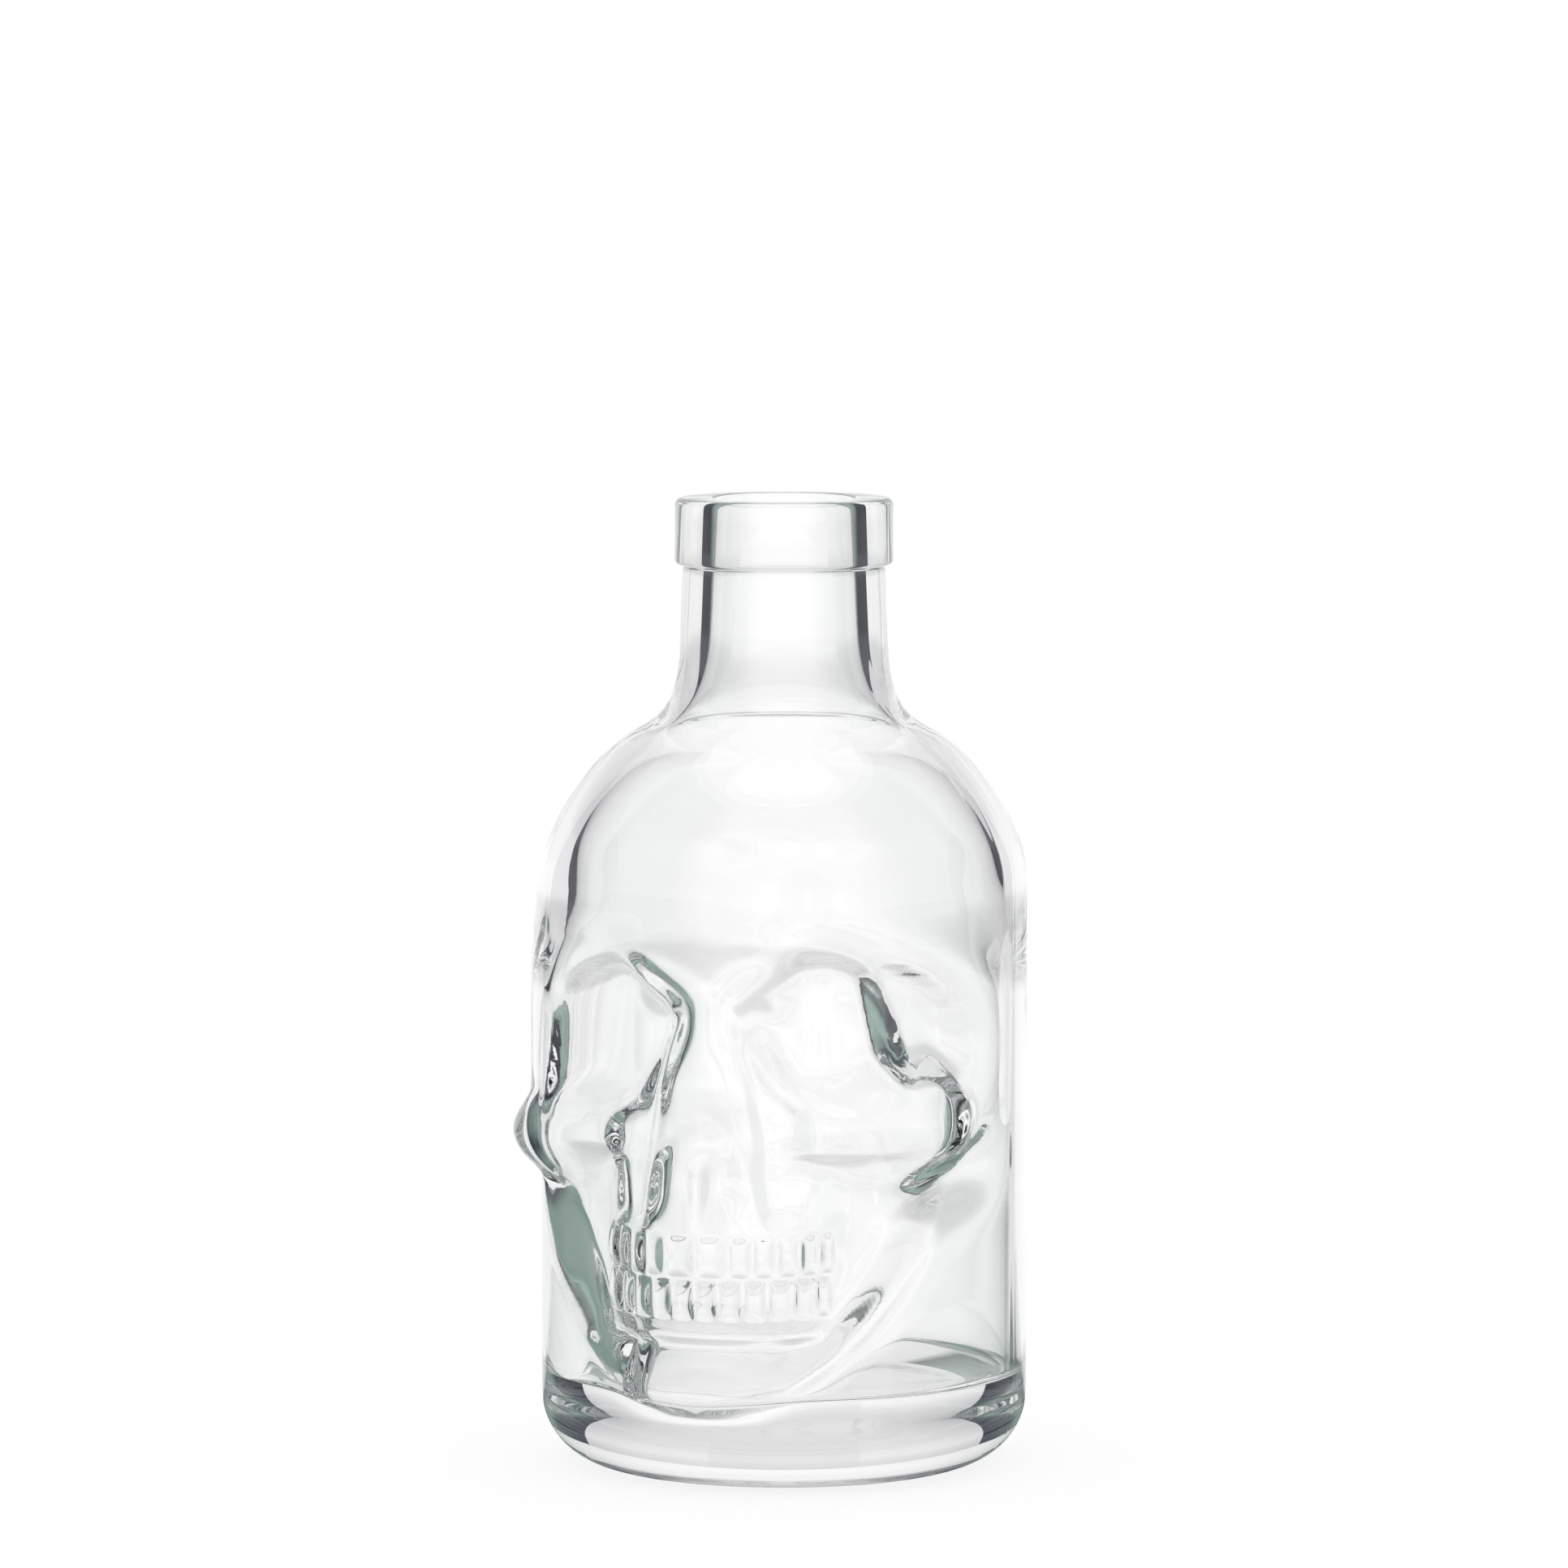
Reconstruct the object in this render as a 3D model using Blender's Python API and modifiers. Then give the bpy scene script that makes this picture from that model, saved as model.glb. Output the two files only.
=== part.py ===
# Skull bottle: one empty bottle of clear moulded glass, with a skull in relief round the front of its body.
# Metres, +Z up. The origin is the centre of the base, and the skull looks along -Y.
import math

import bpy

# Bottle, from the base up
body_diameter = 0.0640
straight_height = 0.0776
dome_height = 0.01915
root_height = 0.0121
neck_length = 0.00965
ring_height = 0.0087

# Base, shoulder and neck outline
heel_round = 0.0092
dome_low_handle = 0.0071
dome_top_handle = 0.0047
root_width = 0.00577
root_low_handle = 0.0045
root_top_handle = 0.0075
root_slope = math.radians(21.4)

# Mouth and walls
bore_diameter = 0.0192
neck_wall = 0.00405
ring_lip = 0.0007
ring_top_round = 0.0010
ring_foot_round = 0.0005
dome_wall = 0.0031
body_wall = 0.00275
least_wall = 0.0018
floor_thickness = 0.0108
floor_round = 0.0040

# Eye sockets: arc from the midline, height above the base, reach to each edge
socket_arc = 0.0119
socket_height = 0.0606
socket_inner_reach = 0.0096
socket_outer_reach = 0.0140
socket_rise = 0.0112
socket_depth = 0.0050
socket_slant_share = -0.26
socket_floor_share = 0.60
socket_corner_power = 2.3

# Brow and the rim outside the sockets
brow_proud = 0.0009
brow_height = 0.0722
brow_arc = 0.0120
brow_reach = 0.0110
brow_thickness = 0.0022
temple_proud = 0.0015
temple_arc_start = 0.0225
temple_arc_end = 0.0390
temple_arc_fade = 0.0100
temple_low = 0.0490
temple_low_fade = 0.0080
temple_high = 0.0600
temple_high_fade = 0.0250
temple_edge = 0.0034
temple_spread_share = 0.50

# Cheekbones: a ridge from the front of the cheek to the end of the arch
cheek_front_arc = 0.0160
cheek_front_height = 0.0472
cheek_end_arc = 0.0322
cheek_end_height = 0.0466
cheek_reach = 0.0104
cheek_front_proud = 0.0006
cheek_end_proud = 0.0043
cheek_tilt_share = 0.055
cheek_blend = 0.0022

# Hollow between cheekbone and jaw
hollow_depth = 0.0052
hollow_top = 0.0450
hollow_top_edge = 0.0030
hollow_jaw_edge = 0.0085
hollow_start_arc = 0.0075
hollow_full_arc = 0.0150
hollow_fade_arc = 0.0230
hollow_end_arc = 0.0360

# Jaw outline and chin
jaw_low_height = 0.0108
jaw_round = 0.0120
jaw_slope_share = 1.03
jaw_ridge_proud = 0.0008
jaw_ridge_width = 0.0017
chin_proud = 0.0021
chin_height = 0.0150
chin_half_width = 0.0072
chin_half_height = 0.0034
groove_height = 0.0196
groove_depth = 0.0011
groove_half_width = 0.0110
groove_half_height = 0.0019

# Muzzle that carries the teeth
arch_radius = 0.0160
arch_front = 0.0343
arch_low = 0.0175
arch_low_edge = 0.0040
arch_fade_start = 0.0410
arch_fade_end = 0.0530
arch_blend = 0.0020

# Teeth, as turns along the dental arch
bite_height = 0.0287
upper_tooth_length = 0.0056
lower_tooth_length = 0.0055
tooth_proud = 0.0009
upper_tooth_edges = [math.radians(turn) for turn in (0.0, 15.5, 27.0, 38.0, 50.0, 61.0, 71.0)]
lower_tooth_edges = [math.radians(turn) for turn in (0.0, 11.0, 22.5, 34.0, 46.0, 58.0, 69.0)]

# Nose
nose_height = 0.0418
nose_half_width = 0.0068
nose_half_height = 0.0085
nose_taper_share = 0.34
nose_depth = 0.0034
nose_floor_share = 0.55
septum_proud = 0.0016
septum_half_width = 0.0014
septum_top = 0.0450
bridge_dip = 0.0018
bridge_dip_height = 0.0655
bridge_proud = 0.0018
bridge_proud_height = 0.0538
bridge_half_width = 0.0042
bridge_half_height = 0.0042

# Mesh density
outer_columns = 76
inner_columns = 36
front_crowding_share = 0.64
chin_rows = 8
tooth_rows = 12
cheek_rows = 14
brow_rows = 8
inner_rows = 17
curve_rows = 6
round_rows = 4
cut_overrun = 0.0030
merge_distance = 0.00001

# Worked out from the sizes above
body_radius = body_diameter / 2
bore_radius = bore_diameter / 2
neck_radius = bore_radius + neck_wall
ring_radius = neck_radius + ring_lip
joint_radius = neck_radius + root_width
dome_top = straight_height + dome_height
root_top = dome_top + root_height
ring_foot = root_top + neck_length
total_height = ring_foot + ring_height


def rise(value, start, end):
    """Go smoothly from 0 at start to 1 at end."""
    share = min(max((value - start) / (end - start), 0.0), 1.0)
    return share * share * (3.0 - 2.0 * share)


def bell(distance, half_width):
    """A round bump of height 1."""
    return math.exp(-((distance / half_width) ** 2))


def soft_max(first, second, blend):
    """The larger of two offsets, with a rounded join where they are close."""
    near = max(blend - abs(first - second), 0.0)
    return max(first, second) + near * near / (4.0 * blend)


def jaw_line(side):
    """Height of the jaw's lower outline at an arc from the midline."""
    return jaw_low_height + jaw_slope_share * (math.hypot(side, jaw_round) - jaw_round)


def carve_hollow(out, side, height):
    """The hollow below the cheekbone, closed by the jaw."""
    above_jaw = rise(height - jaw_line(side), 0.0, hollow_jaw_edge)
    below_cheek = 1.0 - rise(height, hollow_top - hollow_top_edge, hollow_top)
    beside_chin = rise(side, hollow_start_arc, hollow_full_arc)
    near = 1.0 - rise(side, hollow_fade_arc, hollow_end_arc)
    share = above_jaw * below_cheek * beside_chin * near
    return out * (1.0 - share) - hollow_depth * share


def carve_socket(out, side, height):
    """A deep round-cornered eye socket."""
    across = side - socket_arc
    reach = socket_inner_reach if across < 0 else socket_outer_reach
    up = height - socket_height - socket_slant_share * across
    power = socket_corner_power
    edge = (abs(across / reach) ** power + abs(up / socket_rise) ** power) ** (1.0 / power)
    share = 1.0 - rise(edge, socket_floor_share, 1.0)
    return out * (1.0 - share) - socket_depth * share


def cheekbone(arc, height):
    """The cheekbone's ridge, which rises from the depth of the hollow."""
    side = abs(arc)
    lift = cheek_tilt_share * arc
    run_arc = cheek_end_arc - cheek_front_arc
    run_height = cheek_end_height - cheek_front_height
    run = run_arc ** 2 + run_height ** 2
    from_arc = side - cheek_front_arc
    from_height = height - lift - cheek_front_height
    along = min(max((from_arc * run_arc + from_height * run_height) / run, 0.0), 1.0)
    away = math.hypot(from_arc - along * run_arc, from_height - along * run_height)
    proud = cheek_front_proud + (cheek_end_proud - cheek_front_proud) * rise(along, 0.0, 1.0)
    section = (1.0 - min(away / cheek_reach, 1.0) ** 2) ** 1.5
    return (proud + hollow_depth) * section - hollow_depth


def arch_reach(turn):
    """Distance of the dental arch from the bottle's axis at a turn from the midline."""
    centre = arch_front - arch_radius
    across = centre * math.sin(turn)
    return centre * math.cos(turn) + math.sqrt(max(arch_radius ** 2 - across ** 2, 0.0))


def muzzle(side, height):
    """How far the muzzle stands out, or well below zero away from it."""
    out = arch_reach(side / body_radius) - body_radius
    fade = rise(height, arch_fade_start, arch_fade_end)
    sink = hollow_depth * (1.0 - rise(height, arch_low, arch_low + arch_low_edge))
    return out - fade * (max(out, 0.0) + hollow_depth) - sink


def pillow(place, edges):
    """1 on the middle of the span that a place lies in, 0 on the spans' edges and beyond them."""
    for low, high in zip(edges, edges[1:]):
        if low <= place < high:
            across = (2.0 * place - low - high) / (high - low)
            return 1.0 - across ** 4
    return 0.0


def teeth(side, height):
    """Two rows of teeth along the dental arch."""
    turn = side / body_radius
    reach = arch_reach(turn)
    arch_turn = math.atan2(reach * math.sin(turn), reach * math.cos(turn) - arch_front + arch_radius)
    upper = pillow(height, (bite_height, bite_height + upper_tooth_length))
    lower = pillow(height, (bite_height - lower_tooth_length, bite_height))
    rows = upper * pillow(arch_turn, upper_tooth_edges) + lower * pillow(arch_turn, lower_tooth_edges)
    return tooth_proud * rows


def nose(out, side, height):
    """Nasal bones above the pear-shaped opening with its septum."""
    out -= bridge_dip * bell(side, bridge_half_width) * bell(height - bridge_dip_height, bridge_half_height)
    out += bridge_proud * bell(side, bridge_half_width) * bell(height - bridge_proud_height, bridge_half_height)
    up = (height - nose_height) / nose_half_height
    half_width = nose_half_width * (1.0 - nose_taper_share * up)
    edge = math.hypot(side / half_width, up)
    out -= nose_depth * (1.0 - rise(edge, nose_floor_share, 1.0))
    low_share = 1.0 - rise(height, nose_height, septum_top)
    inside = 1.0 - rise(edge, nose_floor_share, 1.0)
    return out + septum_proud * bell(side, septum_half_width) * low_share * inside


def relief(arc, height):
    """Offset of the outer surface from the plain bottle, at an arc from the midline and a height."""
    side = abs(arc)
    lift = cheek_tilt_share * arc
    spread = temple_spread_share * max(height - temple_high, 0.0)
    temple_in = rise(side, temple_arc_start - spread, temple_arc_start + temple_edge + spread)
    temple_out = 1.0 - rise(side, temple_arc_end, temple_arc_end + temple_arc_fade)
    temple_up = rise(height, temple_low - temple_low_fade, temple_low)
    temple_down = 1.0 - rise(height, temple_high, temple_high + temple_high_fade)
    out = temple_proud * temple_in * temple_out * temple_up * temple_down
    out += brow_proud * bell(side - brow_arc, brow_reach) * bell(height - brow_height, brow_thickness)
    out = carve_hollow(out, side, height)
    out = carve_socket(out, side, height - lift)
    out = soft_max(out, cheekbone(arc, height), cheek_blend)
    out = soft_max(out, muzzle(side, height), arch_blend)
    out += teeth(side, height)
    out = nose(out, side, height)
    off_jaw = (height - jaw_line(side)) / math.hypot(1.0, jaw_slope_share) - jaw_ridge_width
    out += jaw_ridge_proud * bell(off_jaw, jaw_ridge_width) * (1.0 - rise(side, hollow_fade_arc, hollow_end_arc))
    out += chin_proud * bell(side, chin_half_width) * bell(height - chin_height, chin_half_height)
    out -= groove_depth * bell(side, groove_half_width) * bell(height - groove_height, groove_half_height)
    low_share = rise(height, heel_round, jaw_low_height)
    return out * low_share


def arc_points(centre, radius, start, end, rows):
    """Points of a circular arc from one angle to another, both ends included."""
    turns = [start + (end - start) * row / rows for row in range(rows + 1)]
    return [(centre[0] + radius * math.cos(turn), centre[1] + radius * math.sin(turn)) for turn in turns]


def bezier_points(p0, p1, p2, p3, rows):
    """Points of a cubic curve, both ends included."""
    points = []
    for row in range(rows + 1):
        t = row / rows
        weights = ((1 - t) ** 3, 3 * t * (1 - t) ** 2, 3 * t * t * (1 - t), t ** 3)
        points.append(tuple(sum(w * p[axis] for w, p in zip(weights, (p0, p1, p2, p3))) for axis in (0, 1)))
    return points


def even_rows(top, bottom, rows):
    """Heights from top down to just above bottom."""
    return [top + (bottom - top) * row / rows for row in range(rows)]


def shoulder_points(rows):
    """Outside of the shoulder, from the neck down to the straight body."""
    joint = (joint_radius, dome_top)
    lean = (math.cos(root_slope), math.sin(root_slope))
    root = bezier_points(
        (neck_radius, root_top),
        (neck_radius, root_top - root_top_handle),
        (joint[0] - root_low_handle * lean[0], joint[1] + root_low_handle * lean[1]),
        joint,
        rows)
    dome = bezier_points(
        joint,
        (joint[0] + dome_top_handle * lean[0], joint[1] - dome_top_handle * lean[1]),
        (body_radius, straight_height + dome_low_handle),
        (body_radius, straight_height),
        rows + 2)
    return root + dome[1:]


def ring_points():
    """Outside of the mouth, from the rim's flat top to under the ring."""
    foot_round = min(ring_foot_round, ring_lip)
    top = arc_points(
        (ring_radius - ring_top_round, total_height - ring_top_round), ring_top_round, math.pi / 2, 0.0, round_rows)
    foot = arc_points(
        (ring_radius - foot_round, ring_foot + foot_round), foot_round, 0.0, -math.pi / 2, round_rows // 2)
    return top + foot + [(neck_radius, ring_foot)]


def outside_profile():
    """The bottle's whole outer outline, from the top of the axis down to the base."""
    tooth_top = bite_height + upper_tooth_length
    tooth_foot = bite_height - lower_tooth_length
    heights = even_rows(straight_height, arch_fade_end, brow_rows)[1:]
    heights += even_rows(arch_fade_end, tooth_top, cheek_rows)
    heights += even_rows(tooth_top, tooth_foot, tooth_rows)
    heights += even_rows(tooth_foot, heel_round, chin_rows)
    heel = arc_points((body_radius - heel_round, heel_round), heel_round, 0.0, -math.pi / 2, round_rows + 1)
    wall = [(body_radius, height) for height in heights]
    outline = [(0.0, total_height)] + ring_points() + shoulder_points(curve_rows) + wall + heel + [(0.0, 0.0)]
    return outline


def inward(points, near_wall, far_wall):
    """Move an outline inwards by a wall that changes evenly from its first point to its last."""
    moved = []
    last = len(points) - 1
    for index, (radius, height) in enumerate(points):
        before = points[max(index - 1, 0)]
        after = points[min(index + 1, last)]
        run = math.hypot(after[0] - before[0], after[1] - before[1])
        normal = ((before[1] - after[1]) / run, (after[0] - before[0]) / run)
        wall = near_wall + (far_wall - near_wall) * index / last
        moved.append((radius - wall * normal[0], height - wall * normal[1]))
    return moved


def inside_profile():
    """Outline of the hollow, from above the rim down to the floor."""
    inner_radius = body_radius - body_wall
    shoulder = shoulder_points(curve_rows)
    root = inward(shoulder[:curve_rows + 1], neck_wall, dome_wall)
    dome = inward(shoulder[curve_rows:], dome_wall, body_wall)
    corner_top = floor_thickness + floor_round
    wall = [(inner_radius, height) for height in even_rows(straight_height, corner_top, inner_rows)[1:]]
    corner = arc_points((inner_radius - floor_round, corner_top), floor_round, 0.0, -math.pi / 2, round_rows)
    mouth = [(0.0, total_height + cut_overrun), (bore_radius, total_height + cut_overrun)]
    return mouth + root + dome[1:] + wall + corner + [(0.0, floor_thickness)]


def turned(name, outline, columns, collection):
    """Turn an outline about the axis and return it as a mesh object with crowded columns at the front."""
    outline_mesh = bpy.data.meshes.new(name + "_outline")
    edges = [(index, index + 1) for index in range(len(outline) - 1)]
    outline_mesh.from_pydata([(radius, 0.0, height) for radius, height in outline], edges, [])
    guide = bpy.data.objects.new(name + "_outline", outline_mesh)
    collection.objects.link(guide)
    screw = guide.modifiers.new("turn", "SCREW")
    screw.axis = "Z"
    screw.angle = 2.0 * math.pi
    screw.steps = columns
    screw.render_steps = columns
    screw.use_merge_vertices = True
    screw.merge_threshold = merge_distance
    evaluated = guide.evaluated_get(bpy.context.evaluated_depsgraph_get())
    mesh = bpy.data.meshes.new_from_object(evaluated)
    bpy.data.objects.remove(guide)
    mesh.name = name
    piece = bpy.data.objects.new(name, mesh)
    collection.objects.link(piece)
    for vertex in mesh.vertices:
        radius = math.hypot(vertex.co.x, vertex.co.y)
        even_turn = math.atan2(vertex.co.x, -vertex.co.y)
        turn = even_turn - front_crowding_share * math.sin(even_turn)
        vertex.co.x = radius * math.sin(turn)
        vertex.co.y = -radius * math.cos(turn)
    return piece


def outer_offset(turn, height):
    """Relief of the outside at a turn from the front, none at the back."""
    return relief(turn * body_radius, height)


def softened_offset(turn, height):
    """Relief as the blown inside follows it: the mean of the outside over a wall's reach."""
    steps = (-1.0, -0.5, 0.0, 0.5, 1.0)
    reach = 2.0 * body_wall
    total = 0.0
    weight = 0.0
    for across in steps:
        for up in steps:
            share = bell(math.hypot(across, up), 1.0)
            total += share * outer_offset(turn + across * reach / body_radius, height + up * reach)
            weight += share
    return total / weight


def press(piece, offset_at):
    """Move each vertex of a turned piece out from the axis by an offset."""
    for vertex in piece.data.vertices:
        radius = math.hypot(vertex.co.x, vertex.co.y)
        if radius > 0.0:
            turn = math.atan2(vertex.co.x, -vertex.co.y)
            grown = (radius + offset_at(turn, radius, vertex.co.z)) / radius
            vertex.co.x *= grown
            vertex.co.y *= grown


def outside_press(turn, radius, height):
    """Offset of a point on the outer surface, where the body's wall is."""
    return outer_offset(turn, height) if radius > body_radius - heel_round else 0.0


def inside_press(turn, radius, height):
    """Offset of a point on the inner surface, keeping the least wall to the outside."""
    inner_radius = body_radius - body_wall
    share = rise(radius, inner_radius - floor_round - floor_round, inner_radius)
    follow = softened_offset(turn, height)
    limit = outer_offset(turn, height) + body_wall - least_wall
    return share * min(follow, limit)


def clear_glass():
    """Flint glass with a faint green cast."""
    material = bpy.data.materials.new("clear_glass")
    material.use_nodes = True
    shader = material.node_tree.nodes["Principled BSDF"]
    shader.inputs["Base Color"].default_value = (0.93, 0.97, 0.95, 1.0)
    shader.inputs["Metallic"].default_value = 0.0
    shader.inputs["Roughness"].default_value = 0.03
    shader.inputs["IOR"].default_value = 1.5
    shader.inputs["Transmission Weight"].default_value = 1.0
    return material


def make_bottle(parts, cutters):
    """The bottle: a pressed turned solid with its hollow cut out."""
    bottle = turned("glass_bottle", outside_profile(), outer_columns, parts)
    press(bottle, outside_press)
    hollow = turned("hollow_cutter", inside_profile(), inner_columns, cutters)
    press(hollow, inside_press)
    hollow.hide_render = True
    hollow.display_type = "WIRE"
    cut = bottle.modifiers.new("hollow", "BOOLEAN")
    cut.operation = "DIFFERENCE"
    cut.solver = "EXACT"
    cut.object = hollow
    bottle.data.materials.append(clear_glass())
    bottle.data.shade_smooth()
    bottle.data.set_sharp_from_angle(angle=math.radians(40.0))
    return bottle


for old in list(bpy.data.objects):
    bpy.data.objects.remove(old)

parts = bpy.data.collections.new("skull_bottle")
cutters = bpy.data.collections.new("cutters")
bpy.context.scene.collection.children.link(parts)
bpy.context.scene.collection.children.link(cutters)
make_bottle(parts, cutters)
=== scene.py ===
# Skull bottle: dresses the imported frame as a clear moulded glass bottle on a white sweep.
# Metres, +Z up. The skull looks along -Y, and the camera stands 19.5 degrees to its left-hand side.
import math

import bmesh
import bpy
import numpy as np
from mathutils import Matrix, Vector


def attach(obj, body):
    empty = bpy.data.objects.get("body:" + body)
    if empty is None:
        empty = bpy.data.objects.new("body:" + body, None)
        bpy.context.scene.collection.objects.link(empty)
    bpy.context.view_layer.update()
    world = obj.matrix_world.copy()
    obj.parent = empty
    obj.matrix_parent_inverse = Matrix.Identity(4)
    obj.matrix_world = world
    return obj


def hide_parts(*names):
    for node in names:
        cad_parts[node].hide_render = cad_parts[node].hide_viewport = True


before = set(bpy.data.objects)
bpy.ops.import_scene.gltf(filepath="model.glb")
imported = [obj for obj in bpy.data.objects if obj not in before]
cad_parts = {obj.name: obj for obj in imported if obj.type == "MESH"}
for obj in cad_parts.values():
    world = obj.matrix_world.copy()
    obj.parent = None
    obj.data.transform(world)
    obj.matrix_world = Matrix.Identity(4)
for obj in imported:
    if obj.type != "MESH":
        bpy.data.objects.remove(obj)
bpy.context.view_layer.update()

bottle = {
    "bodyRadius": 0.0320,
    "straightHeight": 0.0776,  # where the body starts to close in
    "domeHeight": 0.01915,
    "rootHeight": 0.0121,  # the curve from the dome up into the neck
    "neckLength": 0.00965,
    "ringHeight": 0.0087,
    "heelRound": 0.0092,
    "domeLowHandle": 0.0071,  # the handles are those of the curves
    "domeTopHandle": 0.0047,
    "rootWidth": 0.00577,
    "rootLowHandle": 0.0045,
    "rootTopHandle": 0.0075,
    "rootSlope": math.radians(21.4),
    "boreRadius": 0.0097,
    "boreTopRadius": 0.0090,
    "neckRadius": 0.01365,
    "neckTopRadius": 0.01328,
    "ringRadius": 0.01435,
    "ringTopRound": 0.0010,
    "ringFootRound": 0.0005,
    "underRingRound": 0.0002,
    "boreTopRound": 0.0007,
    "domeWall": 0.0033,
    "crownWall": 0.0044,
    "crownFrom": 0.0640,
    "crownTo": 0.0755,
    "bodyWall": 0.0025,
    "leastWall": 0.0018,
    "floorThickness": 0.0108,
    "floorDish": 0.0014,
    "floorRound": 0.0012,
    "throatRise": 0.0012,  # the throat starts this much above the neck's root
    "throatTopHandle": 0.0065,
    "throatLowHandle": 0.0045,
}

# Widths and arcs run round the body from the skull's midline. A pair is where a fade starts and ends, or,
# in a Spot, a Lean, cheekFront or cheekRun, one value round the body and one up it.
skull = {
    "socketArc": 0.0119,
    "socketHeight": 0.0606,
    "socketInnerReach": 0.0096,
    "socketOuterReach": 0.0180,
    "socketRise": 0.0112,
    "socketDepth": 0.0058,
    "socketSlant": -0.26,
    "socketSquareness": 2.3,  # 2 would be an ellipse
    "socketSteep": 0.60,  # where its wall starts, as a share of the way out
    "socketOuterSteep": 0.20,
    "socketOuterFade": (0.0, 0.0100),
    "socketInnerSoft": 0.35,
    "socketSoftUp": (0.0, 0.0060),
    "socketSoftAcross": (-0.0040, 0.0020),
    "socketSpread": 0.0110,  # how much wider the right one is inside the glass
    "noseLineSpot": (0.0064, 0.0610),  # the socket ends at three slanted lines
    "noseLineLean": (0.788, 0.615),
    "noseLineFade": (-0.0030, 0.0026),
    "browLineSpot": (0.0032, 0.0632),
    "browLineLean": (0.70, -0.72),
    "browLineFade": (-0.0015, 0.0075),
    "templeLineSpot": (0.0226, 0.0700),
    "templeLineLean": (-0.963, -0.270),
    "rightWallWidth": 0.0022,
    "leftWallWidth": 0.0045,
    "browProud": 0.0006,
    "browArc": 0.0120,
    "browReach": 0.0110,
    "browHeight": 0.0722,
    "browWidth": 0.0022,
    "templeProud": 0.0015,
    "templeFront": (0.0225, 0.0259),
    "templeBack": (0.0390, 0.0490),
    "templeFoot": (0.0410, 0.0490),
    "templeTop": (0.0600, 0.0850),
    "templeFlare": 0.5,
    "cheekProud": 0.0043,
    "cheekFrontProud": 0.0006,
    "cheekFront": (0.0160, 0.0472),
    "cheekRun": (0.0162, -0.0006),
    "cheekReach": 0.0104,
    "cheekTaper": 0.0034,
    "cheekTilt": 0.055,  # the right cheek sits higher than the left one
    "cheekBlend": 0.0022,
    "hollowDepth": 0.0052,
    "hollowWall": 0.0064,
    "hollowTop": (0.0420, 0.0450),
    "hollowFront": (0.0075, 0.0150),
    "hollowBack": (0.0250, 0.0345),
    "jawLine": (
        (0.0, 0.0108), (0.0040, 0.0110), (0.0080, 0.0119), (0.0110, 0.0133),
        (0.0145, 0.0156), (0.0185, 0.0185), (0.0215, 0.0212), (0.0245, 0.0245),
        (0.0275, 0.0280), (0.0320, 0.0325), (0.0500, 0.0500)),
    "jawLean": 1.5,
    "jawRidge": 0.0008,
    "jawRidgeWidth": 0.0017,
    "jawRidgeEnd": (0.0230, 0.0360),
    "chinProud": 0.0021,
    "chinHeight": 0.0150,
    "chinWidth": 0.0072,
    "chinRise": 0.0034,
    "lipDepth": 0.0011,  # the dip between the chin and the lower teeth
    "lipHeight": 0.0196,
    "lipWidth": 0.0110,
    "lipRise": 0.0019,
    "muzzleTop": (0.0410, 0.0530),
    "muzzleFoot": (0.0175, 0.0215),
    "muzzleBlend": 0.0020,
    "biteHeight": 0.0287,
    "upperTooth": 0.0056,
    "lowerTooth": 0.0055,
    "upperGaps": (0.0, 15.5, 27.0, 38.0, 50.0, 61.0, 71.0),  # degrees round the arch
    "lowerGaps": (0.0, 11.0, 22.5, 34.0, 46.0, 58.0, 69.0),
    "toothProud": 0.0009,
    "toothSquareness": 2.6,
    "archRadius": 0.0160,
    "archFront": 0.0343,
    "noseHeight": 0.0418,
    "noseRise": 0.0085,
    "noseWidth": 0.0068,
    "noseNarrowing": 0.34,
    "noseDepth": 0.0021,
    "noseFade": (0.30, 1.0),
    "bridgeDepth": 0.0018,
    "bridgeWidth": 0.0042,
    "bridgeDip": 0.0655,
    "bridgeHump": 0.0538,
    "flankHeights": (0.0340, 0.0420, 0.0464, 0.0528, 0.0630),
    "flankArcs": (0.0088, 0.0074, 0.0076, 0.0064, 0.0034),
    "flankRound": 0.0012,
    "flankDepth": 0.0016,
    "flankEnd": (0.0105, 0.0150),
    "flankFoot": (0.0345, 0.0375),
    "flankTop": (0.0600, 0.0650),
    "septumProud": 0.0016,
    "septumWidth": 0.0014,
    "septumTop": 0.0450,
}

# how the hollow under each cheek lies inside the glass, against the one outside
insideCheek = {
    "start": (0.0120, 0.0170),
    "rightHeights": (0.0350, 0.0410),
    "rightDrop": 0.0084,
    "rightShift": 0.0138,
    "leftDrop": 0.0070,
    "leftFrontDrop": 0.0090,
    "leftDropEnd": (0.0280, 0.0370),
    "leftDropFurther": 0.0060,
    "leftDropHeights": (0.0200, 0.0300),
    "leftNear": -0.0017,
    "leftFar": 0.0066,
    "leftLowFar": 0.0070,
    "leftLowHeights": (0.0220, 0.0340),
}


def rise(value, start, end):
    share = np.clip((value - start) / (end - start), 0.0, 1.0)
    return share * share * (3.0 - 2.0 * share)


def bell(distance, halfWidth):
    return np.exp(-((distance / halfWidth) ** 2))


def softMax(first, second, blend):
    near = np.maximum(blend - np.abs(first - second), 0.0)
    return np.maximum(first, second) + near * near / (4.0 * blend)


def pillow(place, edges, power):
    # 1 on the middle of each span, 0 on its edges
    crown = np.zeros_like(place)
    for low, high in zip(edges, edges[1:]):
        across = np.clip((2.0 * place - low - high) / (high - low), -1.0, 1.0)
        crown += np.where((place >= low) & (place < high), 1.0 - np.abs(across) ** power, 0.0)
    return crown


def pastLine(side, height, spot, lean):
    # how far a place lies past a slanted line through the spot
    return (side - spot[0]) * lean[0] + (height - spot[1]) * lean[1]


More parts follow.
